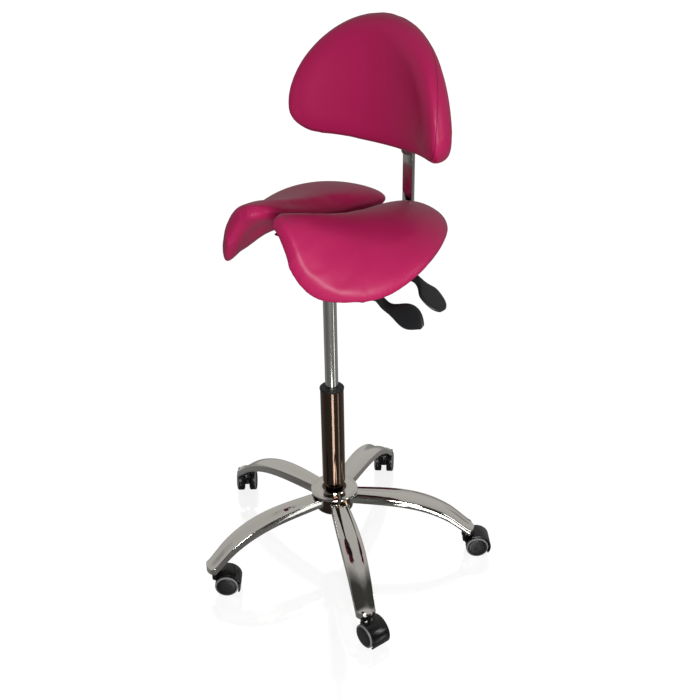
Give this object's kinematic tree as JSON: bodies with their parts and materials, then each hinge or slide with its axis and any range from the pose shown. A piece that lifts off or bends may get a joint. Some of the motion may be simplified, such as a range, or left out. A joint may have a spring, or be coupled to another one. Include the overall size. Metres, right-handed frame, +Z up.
{
  "type": "saddle stool",
  "caption": "Height-adjustable stool with a split saddle seat, a curved backrest on an upright bar, two levers under the seat and a swivelling base on casters.",
  "frame": {"origin": "on the floor, under the column's axis", "axes": "+Z up along the column, the sitter faces -Y, +X is the sitter's left, where the levers are"},
  "size_m": [0.6545, 0.6353, 1.1571],
  "materials": {
    "leatherette": "satin",
    "chrome": "polished",
    "dark_chrome": "polished",
    "steel": "satin",
    "black_plastic": "matte",
    "hood_plastic": "satin",
    "wheel_plastic": "matte",
    "black_paint": "satin"
  },
  "bodies": {
    "base": {"base_hub": "chrome", "hub_flange": "chrome", "base_arm_1": "chrome", "base_arm_2": "chrome", "base_arm_3": "chrome", "base_arm_4": "chrome", "base_arm_5": "chrome", "caster_sockets": "black_plastic", "caster_stems": "chrome", "column_tube": "dark_chrome", "column_bush": "black_plastic", "thrust_washer_lower": "steel", "thrust_cage": "steel"},
    "rod": {"piston_rod": "steel", "gas_piston": "steel", "thrust_washer_upper": "steel", "rod_clip": "steel"},
    "lift": {"gas_cylinder": "chrome", "rod_seal": "steel", "mechanism_block": "black_paint", "pivot_bolts": "steel"},
    "valve": {"valve_pin": "steel"},
    "height_handle": {"height_lever": "steel", "height_paddle": "black_plastic"},
    "tilt_handle": {"tilt_lever": "steel", "tilt_paddle": "black_plastic"},
    "seat": {"seat_plate": "black_paint", "front_strip": "black_paint", "seat_board_left": "black_plastic", "seat_board_right": "black_plastic", "seat_pad_left": "leatherette", "seat_pad_right": "leatherette", "seat_bolts": "steel", "rear_bracket": "black_paint"},
    "bar_lock": {"bar_knob": "black_plastic"},
    "bar": {"backrest_bar": "chrome"},
    "carrier": {"back_carrier": "steel"},
    "height_lock": {"height_knob": "black_plastic"},
    "back": {"back_plate": "black_paint", "hinge_pin": "chrome", "back_board": "leatherette", "back_pad": "leatherette"},
    "caster_1": {"caster_hood_1": "hood_plastic"},
    "wheel_1_left": {"caster_wheel_1_left": "wheel_plastic"},
    "wheel_1_right": {"caster_wheel_1_right": "wheel_plastic"},
    "caster_2": {"caster_hood_2": "hood_plastic"},
    "wheel_2_left": {"caster_wheel_2_left": "wheel_plastic"},
    "wheel_2_right": {"caster_wheel_2_right": "wheel_plastic"},
    "caster_3": {"caster_hood_3": "hood_plastic"},
    "wheel_3_left": {"caster_wheel_3_left": "wheel_plastic"},
    "wheel_3_right": {"caster_wheel_3_right": "wheel_plastic"},
    "caster_4": {"caster_hood_4": "hood_plastic"},
    "wheel_4_left": {"caster_wheel_4_left": "wheel_plastic"},
    "wheel_4_right": {"caster_wheel_4_right": "wheel_plastic"},
    "caster_5": {"caster_hood_5": "hood_plastic"},
    "wheel_5_left": {"caster_wheel_5_left": "wheel_plastic"},
    "wheel_5_right": {"caster_wheel_5_right": "wheel_plastic"}
  },
  "joints": [
    {"name": "column_swivel", "type": "hinge", "parent": "base", "child": "rod", "pos_m": [0, 0, 0.12], "axis": [0, 0, 1], "continuous": true},
    {"name": "seat_height", "type": "slide", "parent": "rod", "child": "lift", "axis": [0, 0, 1], "range_m": [-0.2, 0]},
    {"name": "seat_tilt", "type": "hinge", "parent": "lift", "child": "seat", "pos_m": [0, 0, 0.7], "axis": [1, 0, 0], "range_deg": [-3, 6]},
    {"name": "height_lever_pull", "type": "hinge", "parent": "lift", "child": "height_handle", "pos_m": [0.032, -0.04, 0.7115], "axis": [0, -1, 0], "range_deg": [0, 3.5], "stiffness_Nm_per_rad": 20},
    {"name": "valve_press", "type": "slide", "parent": "lift", "child": "valve", "axis": [0, 0, -1], "range_m": [0, 0.00196]},
    {"name": "tilt_lever_pull", "type": "hinge", "parent": "lift", "child": "tilt_handle", "pos_m": [0.032, 0.052, 0.7115], "axis": [0, -1, 0], "range_deg": [0, 3.5], "stiffness_Nm_per_rad": 20},
    {"name": "backrest_depth", "type": "slide", "parent": "seat", "child": "bar", "axis": [0, 1, 0], "range_m": [0, 0.015]},
    {"name": "bar_knob_turn", "type": "hinge", "parent": "seat", "child": "bar_lock", "pos_m": [0, 0.107, 0.709], "axis": [0, 0, 1], "range_deg": [-180, 180]},
    {"name": "backrest_height", "type": "slide", "parent": "bar", "child": "carrier", "axis": [0, 0, 1], "range_m": [-0.08, 0.015]},
    {"name": "height_knob_turn", "type": "hinge", "parent": "carrier", "child": "height_lock", "pos_m": [0, 0.25, 0.955], "axis": [0, 1, 0], "range_deg": [-180, 180]},
    {"name": "backrest_angle", "type": "hinge", "parent": "carrier", "child": "back", "pos_m": [0, 0.2172, 0.955], "axis": [1, 0, 0], "range_deg": [-8, 8]},
    {"name": "caster_swivel_1", "type": "hinge", "parent": "base", "child": "caster_1", "pos_m": [-0.07661, -0.28591, 0.057], "axis": [0, 0, 1], "continuous": true},
    {"name": "wheel_1_left_roll", "type": "hinge", "parent": "caster_1", "child": "wheel_1_left", "pos_m": [-0.05994, -0.26865, 0.025], "axis": [-0.7193, 0.6947, 0], "continuous": true},
    {"name": "wheel_1_right_roll", "type": "hinge", "parent": "caster_1", "child": "wheel_1_right", "pos_m": [-0.05994, -0.26865, 0.025], "axis": [-0.7193, 0.6947, 0], "continuous": true},
    {"name": "caster_swivel_2", "type": "hinge", "parent": "base", "child": "caster_2", "pos_m": [0.24825, -0.16121, 0.057], "axis": [0, 0, 1], "continuous": true},
    {"name": "wheel_2_left_roll", "type": "hinge", "parent": "caster_2", "child": "wheel_2_left", "pos_m": [0.27201, -0.16455, 0.025], "axis": [0.1392, 0.9903, 0], "continuous": true},
    {"name": "wheel_2_right_roll", "type": "hinge", "parent": "caster_2", "child": "wheel_2_right", "pos_m": [0.27201, -0.16455, 0.025], "axis": [0.1392, 0.9903, 0], "continuous": true},
    {"name": "caster_swivel_3", "type": "hinge", "parent": "base", "child": "caster_3", "pos_m": [0.23003, 0.18628, 0.057], "axis": [0, 0, 1], "continuous": true},
    {"name": "wheel_3_left_roll", "type": "hinge", "parent": "caster_3", "child": "wheel_3_left", "pos_m": [0.24671, 0.20354, 0.025], "axis": [-0.7193, 0.6947, 0], "continuous": true},
    {"name": "wheel_3_right_roll", "type": "hinge", "parent": "caster_3", "child": "wheel_3_right", "pos_m": [0.24671, 0.20354, 0.025], "axis": [-0.7193, 0.6947, 0], "continuous": true},
    {"name": "caster_swivel_4", "type": "hinge", "parent": "base", "child": "caster_4", "pos_m": [-0.10608, 0.27634, 0.057], "axis": [0, 0, 1], "continuous": true},
    {"name": "wheel_4_left_roll", "type": "hinge", "parent": "caster_4", "child": "wheel_4_left", "pos_m": [-0.1215, 0.29473, 0.025], "axis": [-0.766, -0.6428, 0], "continuous": true},
    {"name": "wheel_4_right_roll", "type": "hinge", "parent": "caster_4", "child": "wheel_4_right", "pos_m": [-0.1215, 0.29473, 0.025], "axis": [-0.766, -0.6428, 0], "continuous": true},
    {"name": "caster_swivel_5", "type": "hinge", "parent": "base", "child": "caster_5", "pos_m": [-0.29559, -0.01549, 0.057], "axis": [0, 0, 1], "continuous": true},
    {"name": "wheel_5_left_roll", "type": "hinge", "parent": "caster_5", "child": "wheel_5_left", "pos_m": [-0.31286, 0.00118, 0.025], "axis": [-0.6947, -0.7193, 0], "continuous": true},
    {"name": "wheel_5_right_roll", "type": "hinge", "parent": "caster_5", "child": "wheel_5_right", "pos_m": [-0.31286, 0.00118, 0.025], "axis": [-0.6947, -0.7193, 0], "continuous": true}
  ],
  "couplings": [
    {"joint": "valve_press", "follows": "height_lever_pull", "m_per_rad": 0.032}
  ]
}
